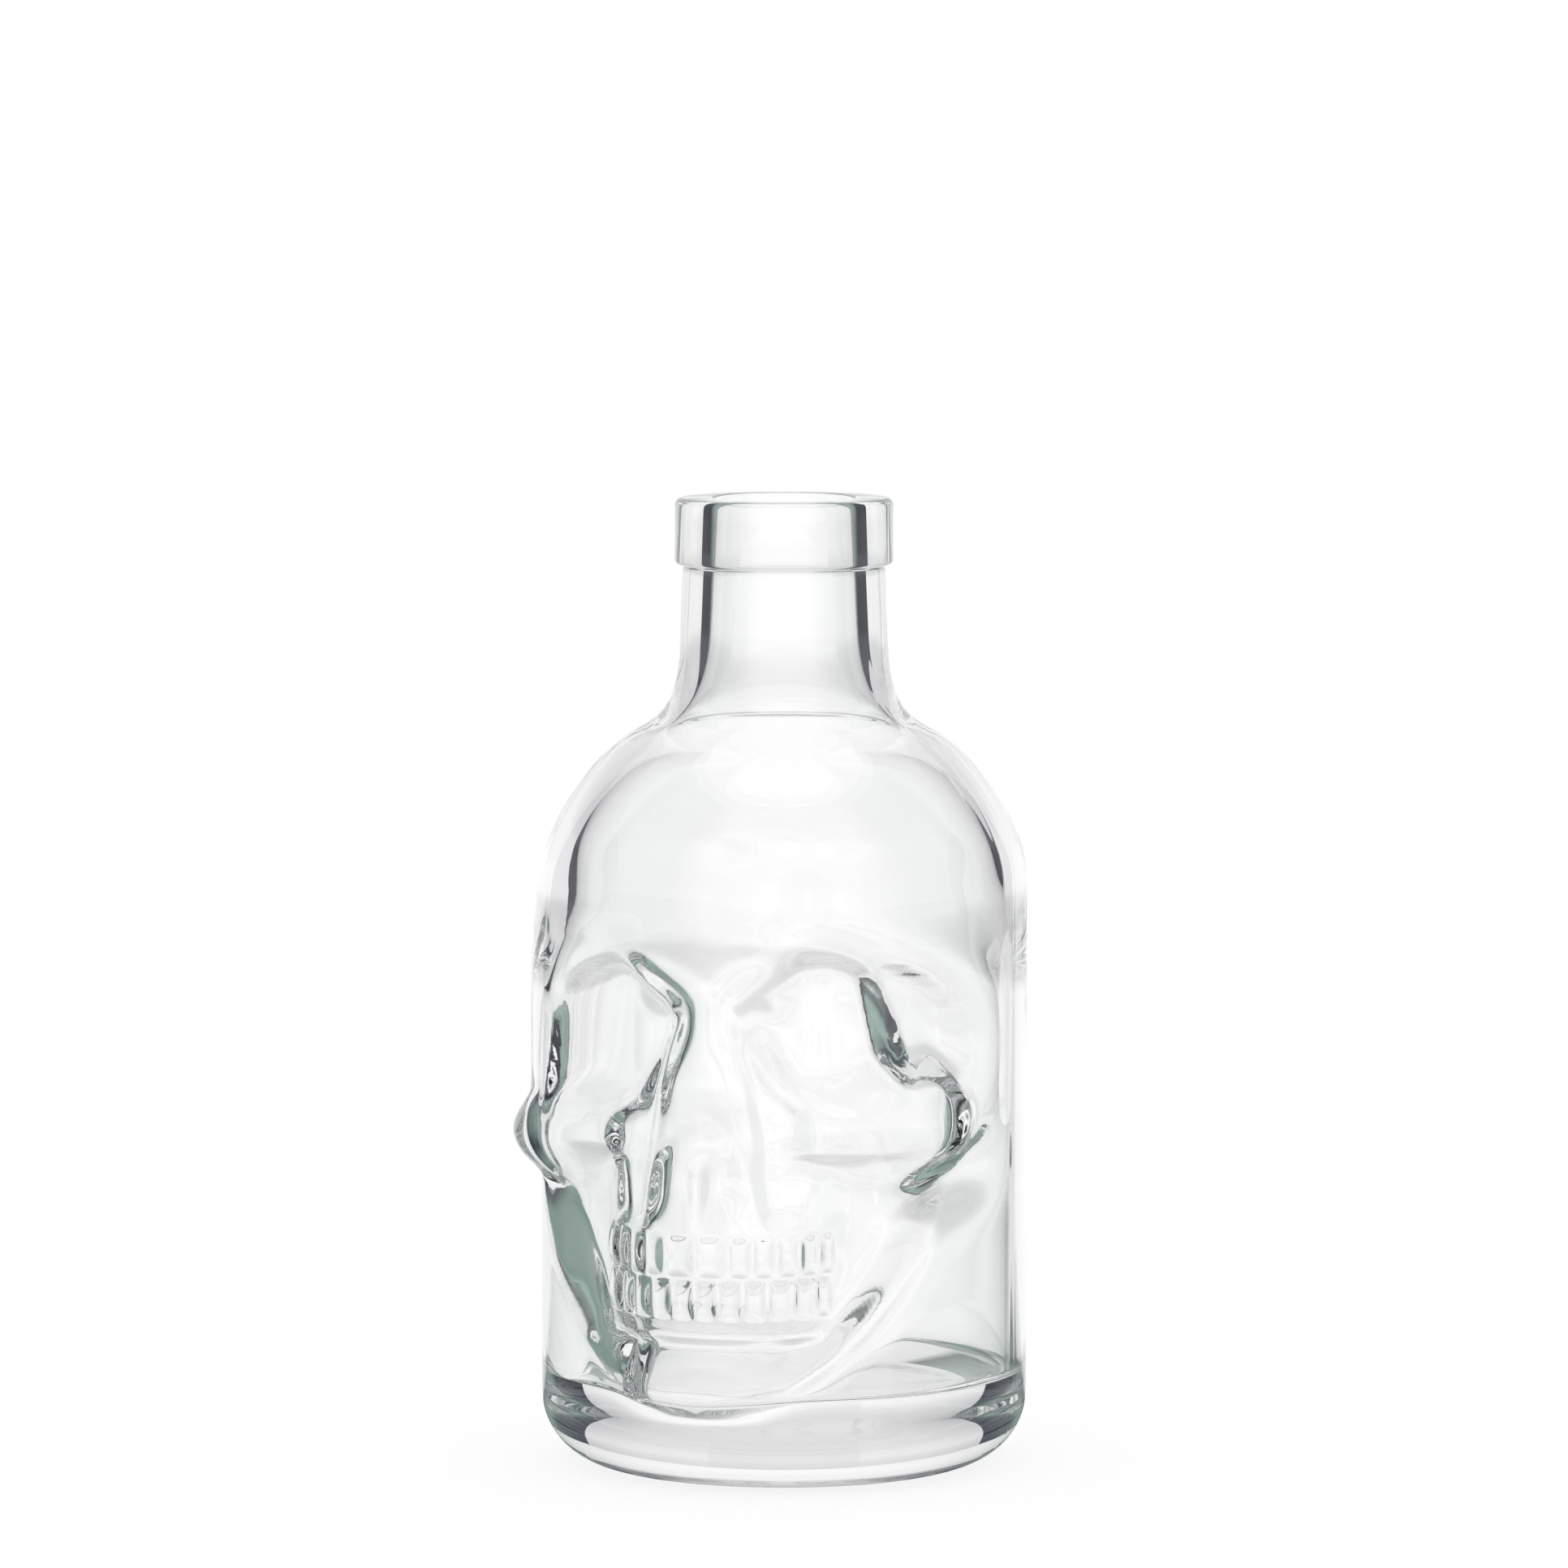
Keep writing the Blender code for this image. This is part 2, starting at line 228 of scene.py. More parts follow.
def jawLine(side):
    return np.interp(side, *zip(*skull["jawLine"]))


def insideShift(arc, side, height):
    # how much lower the hollow is inside the glass, and how much further back its two ends are
    right, cheek = arc > 0.0, insideCheek
    above = rise(height, *cheek["rightHeights"])
    below = 1.0 - rise(height, *cheek["leftLowHeights"])
    further = cheek["leftDropFurther"] * (1.0 - rise(height, *cheek["leftDropHeights"]))
    endFrom, endTo = cheek["leftDropEnd"]
    lower = 1.0 - rise(side, endFrom + further, endTo + further)
    lower = cheek["leftDrop"] + cheek["leftFrontDrop"] * lower
    drop = np.where(right, cheek["rightDrop"] * above, lower) * rise(side, *cheek["start"])
    near = np.where(right, cheek["rightShift"] * above, cheek["leftNear"])
    far = np.where(right, cheek["rightShift"] * above, cheek["leftFar"] + cheek["leftLowFar"] * below)
    return drop, near, far


def carveHollow(out, side, height, drop, near, far):
    back = skull["hollowBack"]
    share = rise(height - jawLine(side) + drop, 0.0, skull["hollowWall"])
    share = share * (1.0 - rise(height, *skull["hollowTop"]))
    share = share * rise(side, *skull["hollowFront"]) * (1.0 - rise(side, back[0] + near, back[1] + far))
    return out * (1.0 - share) - skull["hollowDepth"] * share


def carveSocket(out, side, height, spread, wallWidth):
    across = side - skull["socketArc"]
    reach = np.where(across < 0.0, skull["socketInnerReach"], skull["socketOuterReach"] + spread)
    up = height - skull["socketHeight"] - skull["socketSlant"] * across
    power = skull["socketSquareness"]
    edge = (np.abs(across / reach) ** power + np.abs(up / skull["socketRise"]) ** power) ** (1.0 / power)
    steep = skull["socketSteep"] + skull["socketOuterSteep"] * rise(across, *skull["socketOuterFade"])
    soft = skull["socketInnerSoft"] * rise(up, *skull["socketSoftUp"])
    steep = steep - soft * (1.0 - rise(across, *skull["socketSoftAcross"]))
    share = 1.0 - rise(edge, steep, 1.0)
    fromNose = pastLine(side, height, skull["noseLineSpot"], skull["noseLineLean"])
    share = share * rise(fromNose, *skull["noseLineFade"])
    fromBrow = pastLine(side, height, skull["browLineSpot"], skull["browLineLean"])
    share = share * rise(fromBrow, *skull["browLineFade"])
    templeSpot = (skull["templeLineSpot"][0] + spread, skull["templeLineSpot"][1])
    fromTemple = pastLine(side, height, templeSpot, skull["templeLineLean"])
    share = share * rise(fromTemple, 0.0, wallWidth)
    return out * (1.0 - share) - skull["socketDepth"] * share


def cheekbone(arc, height):
    # a rounded bar along the side of the face, growing prouder and wider towards its back end
    front, run = skull["cheekFront"], skull["cheekRun"]
    fromArc = np.abs(arc) - front[0]
    fromHeight = height - skull["cheekTilt"] * arc - front[1]
    along = (fromArc * run[0] + fromHeight * run[1]) / (run[0] ** 2 + run[1] ** 2)
    along = np.clip(along, 0.0, 1.0)
    away = np.hypot(fromArc - along * run[0], fromHeight - along * run[1])
    growth = skull["cheekProud"] - skull["cheekFrontProud"]
    proud = skull["cheekFrontProud"] + growth * rise(along, 0.0, 1.0)
    reach = skull["cheekReach"] - skull["cheekTaper"] * (1.0 - along)
    section = (1.0 - np.minimum(away / reach, 1.0) ** 2) ** 1.5
    return (proud + skull["hollowDepth"]) * section - skull["hollowDepth"]


def archReach(turn):
    centre = skull["archFront"] - skull["archRadius"]
    across = centre * np.sin(turn)
    return centre * np.cos(turn) + np.sqrt(np.maximum(skull["archRadius"] ** 2 - across ** 2, 0.0))


def muzzle(side, height):
    out = archReach(side / bottle["bodyRadius"]) - bottle["bodyRadius"]
    fade = rise(height, *skull["muzzleTop"])
    sink = skull["hollowDepth"] * (1.0 - rise(height, *skull["muzzleFoot"]))
    return out - fade * (np.maximum(out, 0.0) + skull["hollowDepth"]) - sink


def teeth(side, height):
    turn = side / bottle["bodyRadius"]
    reach = archReach(turn)
    forward = reach * np.cos(turn) - skull["archFront"] + skull["archRadius"]
    archTurn = np.arctan2(reach * np.sin(turn), forward)
    bite, power = skull["biteHeight"], skull["toothSquareness"]
    upper = pillow(height, (bite, bite + skull["upperTooth"]), power)
    upper = upper * pillow(archTurn, np.radians(skull["upperGaps"]), power)
    lower = pillow(height, (bite - skull["lowerTooth"], bite), power)
    lower = lower * pillow(archTurn, np.radians(skull["lowerGaps"]), power)
    return skull["toothProud"] * (upper + lower)


def nose(out, side, height):
    depth, width = skull["bridgeDepth"], skull["bridgeWidth"]
    out = out - depth * bell(side, width) * bell(height - skull["bridgeDip"], width)
    out = out + depth * bell(side, width) * bell(height - skull["bridgeHump"], width)
    up = (height - skull["noseHeight"]) / skull["noseRise"]
    halfWidth = skull["noseWidth"] * (1.0 - skull["noseNarrowing"] * up)
    edge = np.hypot(side / np.maximum(halfWidth, 0.0001), up)
    opening = 1.0 - rise(edge, *skull["noseFade"])
    out = out - skull["noseDepth"] * opening
    flank = np.interp(height, skull["flankHeights"], skull["flankArcs"])
    valley = rise(side, flank - skull["flankRound"], flank + skull["flankRound"])
    valley = valley * (1.0 - rise(side, *skull["flankEnd"]))
    out = out - skull["flankDepth"] * valley * rise(height, *skull["flankFoot"]) * (
        1.0 - rise(height, *skull["flankTop"]))
    septum = skull["septumProud"] * bell(side, skull["septumWidth"])
    return out + septum * (1.0 - rise(height, skull["noseHeight"], skull["septumTop"])) * opening


def temple(side, height):
    front, top = skull["templeFront"], skull["templeTop"]
    flare = skull["templeFlare"] * np.maximum(height - top[0], 0.0)
    share = rise(side, front[0] - flare, front[1] + flare) * (1.0 - rise(side, *skull["templeBack"]))
    return share * rise(height, *skull["templeFoot"]) * (1.0 - rise(height, *top))


def relief(arc, height, inside=False):
    # how far the outside stands out from the plain bottle, at an arc from the midline and a height
    side, right = np.abs(arc), arc > 0.0
    out = skull["templeProud"] * temple(side, height)
    brow = skull["browProud"] * bell(side - skull["browArc"], skull["browReach"])
    out = out + brow * bell(height - skull["browHeight"], skull["browWidth"])
    shift = insideShift(arc, side, height) if inside else (0.0, 0.0, 0.0)
    out = carveHollow(out, side, height, *shift)
    spread = skull["socketSpread"] * inside * right
    wallWidth = np.where(right, skull["rightWallWidth"], skull["leftWallWidth"])
    out = carveSocket(out, side, height - skull["cheekTilt"] * arc, spread, wallWidth)
    out = softMax(out, cheekbone(arc, height), skull["cheekBlend"])
    out = softMax(out, muzzle(side, height), skull["muzzleBlend"])
    out = out + teeth(side, height)
    out = nose(out, side, height)
    offJaw = (height - jawLine(side)) / skull["jawLean"] - skull["jawRidgeWidth"]
    ridge = skull["jawRidge"] * bell(offJaw, skull["jawRidgeWidth"])
    out = out + ridge * (1.0 - rise(side, *skull["jawRidgeEnd"]))
    chin = skull["chinProud"] * bell(side, skull["chinWidth"])
    out = out + chin * bell(height - skull["chinHeight"], skull["chinRise"])
    lip = skull["lipDepth"] * bell(side, skull["lipWidth"])
    out = out - lip * bell(height - skull["lipHeight"], skull["lipRise"])
    return out * rise(height, bottle["heelRound"], skull["jawLine"][0][1])


mesh = {
    "columns": 296,
    "frontCrowding": 0.50,
    "weldDistance": 0.00001,
    "ringTopRows": 8,
    "ringRows": 4,
    "ringFootRows": 5,
    "underRingRows": 3,
    "curveRows": 20,
    "shoulderRows": 46,
    "shoulderEasing": 3,
    "faceStretches": ((0.0720, 58), (0.0350, 40), (0.0225, 20)),  # height each starts at, and its rows
    "heelRows": 16,
    "baseRings": (0.0150, 0.0070, 0.0),
    "floorRows": 8,
    "cornerRows": 10,
    "wallTop": 0.0600,
    "wallRows": 50,
    "throatRows": 54,
    "throatEasing": 2,
    "lipRows": 6,
    "sheetReach": 0.0620,
    "sheetHeight": 0.1000,
    "sheetStep": 0.00025,
    "insideBall": 0.0080,
    "insideEase": 0.0018,
}


def arcPoints(centre, radius, start, end, rows):
    turns = [start + (end - start) * row / rows for row in range(rows + 1)]
    return [(centre[0] + radius * math.cos(turn), centre[1] + radius * math.sin(turn)) for turn in turns]


def bezierPoints(p0, p1, p2, p3, rows):
    points = []
    for row in range(rows + 1):
        t = row / rows
        weights = ((1 - t) ** 3, 3 * t * (1 - t) ** 2, 3 * t * t * (1 - t), t ** 3)
        points.append(tuple(sum(w * p[axis] for w, p in zip(weights, (p0, p1, p2, p3))) for axis in (0, 1)))
    return points


def evenRows(start, end, rows):
    return [start + (end - start) * row / rows for row in range(rows)]


def heights():
    # of the dome's top, the ring's foot and the rim
    domeTop = bottle["straightHeight"] + bottle["domeHeight"]
    ringFoot = domeTop + bottle["rootHeight"] + bottle["neckLength"]
    return domeTop, ringFoot, ringFoot + bottle["ringHeight"]


def shoulderPoints(rows):
    # from the neck down to the straight body
    bodyRadius, neckRadius, straight = bottle["bodyRadius"], bottle["neckRadius"], bottle["straightHeight"]
    domeTop = heights()[0]
    rootTop = domeTop + bottle["rootHeight"]
    joint = (neckRadius + bottle["rootWidth"], domeTop)
    lean = (math.cos(bottle["rootSlope"]), math.sin(bottle["rootSlope"]))
    lowHandle, topHandle = bottle["rootLowHandle"], bottle["domeTopHandle"]
    root = bezierPoints(
        (neckRadius, rootTop), (neckRadius, rootTop - bottle["rootTopHandle"]),
        (joint[0] - lowHandle * lean[0], joint[1] + lowHandle * lean[1]), joint, rows)
    dome = bezierPoints(
        joint, (joint[0] + topHandle * lean[0], joint[1] - topHandle * lean[1]),
        (bodyRadius, straight + bottle["domeLowHandle"]), (bodyRadius, straight), rows)
    return root, dome


def smoothed(points, rows, passes):
    # the same stretch with even rows and its bends eased
    line = np.array(points)
    along = np.concatenate([[0.0], np.cumsum(np.hypot(*np.diff(line, axis=0).T))])
    even = np.linspace(0.0, along[-1], rows)
    line = np.column_stack([np.interp(even, along, line[:, axis]) for axis in (0, 1)])
    for turn in range(passes):
        line[1:-1] = 0.25 * line[:-2] + 0.5 * line[1:-1] + 0.25 * line[2:]
    return [tuple(spot) for spot in line.tolist()]


def inward(points, nearWall, farWall):
    # the same line a wall's thickness further in
    moved = []
    last = len(points) - 1
    for index, (radius, height) in enumerate(points):
        before, after = points[max(index - 1, 0)], points[min(index + 1, last)]
        run = math.hypot(after[0] - before[0], after[1] - before[1])
        normal = ((before[1] - after[1]) / run, (after[0] - before[0]) / run)
        wall = nearWall + (farWall - nearWall) * index / last
        moved.append((radius - wall * normal[0], height - wall * normal[1]))
    return moved


def outlineOutside():
    # from the rim's flat top, down the outside, to the middle of the base
    neckTop, ringRadius, bodyRadius = bottle["neckTopRadius"], bottle["ringRadius"], bottle["bodyRadius"]
    topRound, footRound, heel = bottle["ringTopRound"], bottle["ringFootRound"], bottle["heelRound"]
    under = bottle["underRingRound"]
    ringFoot, top = heights()[1:]
    quarter = math.pi / 2
    points = arcPoints((ringRadius - topRound, top - topRound), topRound, quarter, 0.0, mesh["ringTopRows"])
    ringSide = evenRows(top - topRound, ringFoot + footRound, mesh["ringRows"])
    points += [(ringRadius, height) for height in ringSide[1:]]
    ringEdge = (ringRadius - footRound, ringFoot + footRound)
    points += arcPoints(ringEdge, footRound, 0.0, -quarter, mesh["ringFootRows"])
    points += arcPoints((neckTop + under, ringFoot - under), under, quarter, math.pi, mesh["underRingRows"])
    root, dome = shoulderPoints(mesh["curveRows"])
    starts = [start for start, rows in mesh["faceStretches"]]
    stretch = [(neckTop, ringFoot - 2.0 * under)] + root + dome[1:] + [(bodyRadius, starts[0])]
    points += smoothed(stretch, mesh["shoulderRows"], mesh["shoulderEasing"])[1:]
    rows = []
    for (start, count), end in zip(mesh["faceStretches"], starts[1:] + [heel]):
        rows += evenRows(start, end, count)
    points += [(bodyRadius, height) for height in rows[1:]]
    points += arcPoints((bodyRadius - heel, heel), heel, 0.0, -quarter, mesh["heelRows"])
    points += [(radius, 0.0) for radius in mesh["baseRings"]]
    return points


def outlineInside():
    # from the middle of the hollow's floor, up the inside, to the rim's flat top
    top = heights()[2]
    innerRadius = bottle["bodyRadius"] - bottle["bodyWall"]
    floor, corner, lip = bottle["floorThickness"], bottle["floorRound"], bottle["boreTopRound"]
    boreRadius, boreTop = bottle["boreRadius"], bottle["boreTopRadius"]
    root, dome = shoulderPoints(mesh["curveRows"])
    dome = inward(dome, bottle["domeWall"], bottle["crownWall"])
    slope, lowHandle = bottle["rootSlope"], bottle["throatLowHandle"]
    throatTop = root[0][1] + bottle["throatRise"]
    lowSpot = (dome[0][0] - lowHandle * math.cos(slope), dome[0][1] + lowHandle * math.sin(slope))
    root = bezierPoints(
        (boreRadius, throatTop), (boreRadius, throatTop - bottle["throatTopHandle"]),
        lowSpot, dome[0], mesh["curveRows"])
    crownRadius = bottle["bodyRadius"] - bottle["crownWall"]
    stretch = [(innerRadius, mesh["wallTop"]), (innerRadius, bottle["crownFrom"])]
    stretch += [(crownRadius, bottle["crownTo"])] + dome[::-1] + root[::-1][1:]
    stretch = smoothed(stretch + [(boreTop, top - lip)], mesh["throatRows"], mesh["throatEasing"])
    points = []
    for radius in evenRows(0.0, innerRadius - corner, mesh["floorRows"]):
        points.append((radius, floor + bottle["floorDish"] * (radius / innerRadius) ** 2))
    floor += bottle["floorDish"]
    cornerSpot = (innerRadius - corner, floor + corner)
    points += arcPoints(cornerSpot, corner, -math.pi / 2, 0.0, mesh["cornerRows"])
    wall = evenRows(floor + corner, mesh["wallTop"], mesh["wallRows"])
    points += [(innerRadius, height) for height in wall[1:]]
    points += stretch[:-1]
    points += arcPoints((boreTop + lip, top - lip), lip, math.pi, math.pi / 2, mesh["lipRows"])
    points += [((boreTop + bottle["ringRadius"]) / 2, top)]
    points += [(bottle["ringRadius"] - bottle["ringTopRound"], top)]  # the outside starts here too
    return points


def calculate(tree, operation, first, second=None):
    # a Math node, each input a number or another node's output
    node = tree.nodes.new("ShaderNodeMath")
    node.operation = operation
    for socket, value in zip(node.inputs, (first, second)):
        if isinstance(value, (int, float)):
            socket.default_value = value
        elif value is not None:
            tree.links.new(value, socket)
    return node.outputs[0]


glass = {
    "color": (0.997, 0.998, 0.998, 1.0),
    "ior": 1.51,
    "roughness": 0.0,
    "bumpDistance": 0.0003,
}
glassWave = {
    "Wave Size": 38.0,
    "Wave Height": 0.35,
    "Seam Width": 0.00025,
    "Seam Height": 0.05,
}


def waveGroup():
    # slow unevenness of the blown walls, and the mould's two seams, as a height
    group = bpy.data.node_groups.new("mouldedWave", "ShaderNodeTree")
    face = group.interface
    for label, value in glassWave.items():
        face.new_socket(label, in_out="INPUT", socket_type="NodeSocketFloat").default_value = value
    face.new_socket("Height", in_out="OUTPUT", socket_type="NodeSocketFloat")
    nodes, links = group.nodes, group.links
    start, end = nodes.new("NodeGroupInput"), nodes.new("NodeGroupOutput")
    place = nodes.new("ShaderNodeTexCoord")
    noise = nodes.new("ShaderNodeTexNoise")
    noise.inputs["Detail"].default_value = 1.0
    links.new(place.outputs["Object"], noise.inputs["Vector"])
    links.new(start.outputs["Wave Size"], noise.inputs["Scale"])
    wave = calculate(group, "MULTIPLY", noise.outputs["Fac"], start.outputs["Wave Height"])
    split = nodes.new("ShaderNodeSeparateXYZ")
    links.new(place.outputs["Object"], split.inputs[0])
    share = calculate(group, "DIVIDE", split.outputs["Y"], start.outputs["Seam Width"])
    falloff = calculate(group, "ADD", calculate(group, "MULTIPLY", share, share), 1.0)
    seam = calculate(group, "DIVIDE", start.outputs["Seam Height"], falloff)
    links.new(calculate(group, "ADD", wave, seam), end.inputs["Height"])
    return group


def makeGlass():
    material = bpy.data.materials.new("clearGlass")
    material.use_nodes = True
    nodes, links = material.node_tree.nodes, material.node_tree.links
    shader = nodes["Principled BSDF"]
    shader.inputs["Base Color"].default_value = glass["color"]
    shader.inputs["Metallic"].default_value = 0.0
    shader.inputs["Roughness"].default_value = glass["roughness"]
    shader.inputs["IOR"].default_value = glass["ior"]
    shader.inputs["Transmission Weight"].default_value = 1.0
    wave = nodes.new("ShaderNodeGroup")
    wave.node_tree = waveGroup()
    for label, value in glassWave.items():
        wave.inputs[label].default_value = value
    bump = nodes.new("ShaderNodeBump")
    bump.inputs["Distance"].default_value = glass["bumpDistance"]
    links.new(wave.outputs["Height"], bump.inputs["Height"])
    links.new(bump.outputs["Normal"], shader.inputs["Normal"])
    return material


def turnTree(material):
    # turns an outline's points into a closed body, with its columns crowded at the face
    tree = bpy.data.node_groups.new("turnedBottle", "GeometryNodeTree")
    face = tree.interface
    face.new_socket("Outline", in_out="INPUT", socket_type="NodeSocketGeometry")
    columns = face.new_socket("Columns", in_out="INPUT", socket_type="NodeSocketInt")
    rows = face.new_socket("Rows", in_out="INPUT", socket_type="NodeSocketInt")
    crowding = face.new_socket("Front Crowding", in_out="INPUT", socket_type="NodeSocketFloat")
    weld = face.new_socket("Weld Distance", in_out="INPUT", socket_type="NodeSocketFloat")
    face.new_socket("Bottle", in_out="OUTPUT", socket_type="NodeSocketGeometry")
    nodes, links = tree.nodes, tree.links
    start, end = nodes.new("NodeGroupInput"), nodes.new("NodeGroupOutput")
    rowCount, columnCount = start.outputs["Rows"], start.outputs["Columns"]

    grid = nodes.new("GeometryNodeMeshGrid")
    links.new(calculate(tree, "ADD", columnCount, 1.0), grid.inputs["Vertices X"])
    links.new(rowCount, grid.inputs["Vertices Y"])
    index = nodes.new("GeometryNodeInputIndex").outputs[0]
    column = calculate(tree, "DIVIDE", calculate(tree, "ADD", index, 0.5), rowCount)
    column = calculate(tree, "FLOOR", column)
    row = calculate(tree, "SUBTRACT", index, calculate(tree, "MULTIPLY", column, rowCount))
    row = calculate(tree, "ROUND", row)
    evenTurn = calculate(tree, "DIVIDE", column, columnCount)
    evenTurn = calculate(tree, "MULTIPLY", evenTurn, 2.0 * math.pi)
    evenTurn = calculate(tree, "SUBTRACT", evenTurn, math.pi)
    crowded = calculate(tree, "SINE", evenTurn)
    crowded = calculate(tree, "MULTIPLY", start.outputs["Front Crowding"], crowded)
    turn = calculate(tree, "SUBTRACT", evenTurn, crowded)

    here = nodes.new("GeometryNodeInputPosition")
    pick = nodes.new("GeometryNodeSampleIndex")
    pick.data_type = "FLOAT_VECTOR"
    pick.domain = "POINT"
    links.new(start.outputs["Outline"], pick.inputs["Geometry"])
    links.new(here.outputs[0], pick.inputs["Value"])
    links.new(row, pick.inputs["Index"])
    split = nodes.new("ShaderNodeSeparateXYZ")
    links.new(pick.outputs["Value"], split.inputs[0])
    radius = split.outputs["X"]
    forward = calculate(tree, "MULTIPLY", calculate(tree, "COSINE", turn), -1.0)
    place = nodes.new("ShaderNodeCombineXYZ")
    links.new(calculate(tree, "MULTIPLY", radius, calculate(tree, "SINE", turn)), place.inputs["X"])
    links.new(calculate(tree, "MULTIPLY", radius, forward), place.inputs["Y"])
    links.new(split.outputs["Z"], place.inputs["Z"])

    mark = nodes.new("GeometryNodeStoreNamedAttribute")
    mark.data_type = "FLOAT"
    mark.domain = "POINT"
    mark.inputs["Name"].default_value = "outlineRow"
    links.new(grid.outputs["Mesh"], mark.inputs["Geometry"])
    links.new(row, mark.inputs["Value"])
    move = nodes.new("GeometryNodeSetPosition")
    links.new(mark.outputs["Geometry"], move.inputs["Geometry"])
    links.new(place.outputs[0], move.inputs["Position"])
    join = nodes.new("GeometryNodeMergeByDistance")
    links.new(move.outputs["Geometry"], join.inputs["Geometry"])
    links.new(start.outputs["Weld Distance"], join.inputs["Distance"])
    real = nodes.new("GeometryNodeRealizeInstances")
    links.new(join.outputs["Geometry"], real.inputs["Geometry"])
    paint = nodes.new("GeometryNodeSetMaterial")
    paint.inputs["Material"].default_value = material
    links.new(real.outputs["Geometry"], paint.inputs["Geometry"])
    links.new(paint.outputs["Geometry"], end.inputs["Bottle"])
    return tree, [socket.identifier for socket in (columns, rows, crowding, weld)]


def turned(name, outline, material):
    guideMesh = bpy.data.meshes.new(name + "Outline")
    guideMesh.from_pydata(
        [(radius, 0.0, height) for radius, height in outline],
        [(index, index + 1) for index in range(len(outline) - 1)], [])
    guide = bpy.data.objects.new(name + "Outline", guideMesh)
    bpy.context.collection.objects.link(guide)
    tree, sockets = turnTree(material)
    spin = guide.modifiers.new("turnedBottle", "NODES")
    spin.node_group = tree
    values = (mesh["columns"], len(outline), mesh["frontCrowding"], mesh["weldDistance"])
    for socket, value in zip(sockets, values):
        spin[socket] = value
    body = bpy.data.meshes.new_from_object(guide.evaluated_get(bpy.context.evaluated_depsgraph_get()))
    bpy.data.objects.remove(guide)
    body.name = name
    piece = bpy.data.objects.new(name, body)
    bpy.context.collection.objects.link(piece)
    return piece


def rolled(sheet, ball, step):
    # the sheet as a ball that rolls over its low side leaves it, moved back by the ball's radius
    cells = int(ball / step)
    high, wide = sheet.shape
    padded = np.pad(sheet, cells, mode="edge")
    low = sheet.copy()
    for up in range(-cells, cells + 1):
        for across in range(-cells, cells + 1):
            away = math.hypot(up, across) * step
            if away < ball:
                near = padded[cells + up:cells + up + high, cells + across:cells + across + wide]
                np.minimum(low, near + (ball - math.sqrt(ball ** 2 - away ** 2)), out=low)
    return low


def softenedSheet():
    # the relief as the inside follows it: a wall's thickness behind the outside, then eased
    step, ball, ease = mesh["sheetStep"], mesh["insideBall"], mesh["insideEase"]
    arcs = np.arange(-mesh["sheetReach"], mesh["sheetReach"] + 0.5 * step, step)
    levels = np.arange(0.0, mesh["sheetHeight"] + 0.5 * step, step)
    outer = relief(arcs[None, :], levels[:, None], True)
    sheet = -rolled(-rolled(outer, ball, step), ball - bottle["bodyWall"], step)
    cells = int(5.0 * ease / step)
    weights = bell(np.arange(-cells, cells + 1) * step, ease)
    weights = weights / weights.sum()

    def eased(line):
        return np.convolve(np.pad(line, cells, mode="edge"), weights, "valid")

    for axis in (0, 1):
        sheet = np.apply_along_axis(eased, axis, sheet)
    return arcs, levels, sheet


def cubicShares(part):
    # how much the four nearest cells count, for a curve without kinks
    square, cube = part * part, part ** 3
    return (square - 0.5 * (part + cube), 1.0 - 2.5 * square + 1.5 * cube,
            0.5 * part + 2.0 * square - 1.5 * cube, 0.5 * (cube - square))


def sampleSheet(arcs, levels, sheet, arc, height):
    across = np.clip((arc - arcs[0]) / (arcs[1] - arcs[0]), 1.0, len(arcs) - 2.001)
    up = np.clip((height - levels[0]) / (levels[1] - levels[0]), 1.0, len(levels) - 2.001)
    row, column = np.floor(up).astype(int), np.floor(across).astype(int)
    total = np.zeros_like(across)
    for rowStep, rowShare in enumerate(cubicShares(up - row), -1):
        for columnStep, columnShare in enumerate(cubicShares(across - column), -1):
            total += rowShare * columnShare * sheet[row + rowStep, column + columnStep]
    return total


def pressSkull(piece, outsideRows):
    # moves the points in or out: the outside by the relief, the inside by its softened form
    data = piece.data
    count = len(data.vertices)
    spots = np.zeros(count * 3)
    data.vertices.foreach_get("co", spots)
    spots = spots.reshape(-1, 3)
    row = np.zeros(count)
    data.attributes["outlineRow"].data.foreach_get("value", row)
    radius = np.hypot(spots[:, 0], spots[:, 1])
    turn = np.arctan2(spots[:, 0], -spots[:, 1])
    arc, height = turn * bottle["bodyRadius"], spots[:, 2]
    outer = relief(arc, height)
    outerShare = radius > bottle["bodyRadius"] - bottle["heelRound"]
    innerRadius = bottle["bodyRadius"] - bottle["bodyWall"]
    follow = sampleSheet(*softenedSheet(), arc, height)
    follow = np.minimum(follow, outer + bottle["bodyWall"] - bottle["leastWall"])
    innerShare = rise(radius, innerRadius - 2.0 * bottle["floorRound"], innerRadius)
    offset = np.where(row < outsideRows, outer * outerShare, follow * innerShare)
    grown = (radius + offset) / np.maximum(radius, 1e-9)
    spots[:, 0] *= grown
    spots[:, 1] *= grown
    data.vertices.foreach_set("co", spots.ravel())
    data.attributes.remove(data.attributes["outlineRow"])
    data.update()


def closeShell(piece):
    # drops the edge left between the two poles and turns every face outwards
    work = bmesh.new()
    work.from_mesh(piece.data)
    loose = [edge for edge in work.edges if not edge.link_faces]
    bmesh.ops.delete(work, geom=loose, context="EDGES")
    bmesh.ops.recalc_face_normals(work, faces=work.faces)
    if work.calc_volume(signed=True) < 0.0:
        bmesh.ops.reverse_faces(work, faces=work.faces)
    print("open edges", sum(1 for edge in work.edges if not edge.is_manifold),
          "glass", round(work.calc_volume() * 1e6, 1), "ml")
    work.to_mesh(piece.data)
    work.free()
    piece.data.shade_smooth()
    piece.data.update()
    print("glass", sum(len(face.vertices) - 2 for face in piece.data.polygons), "triangles")


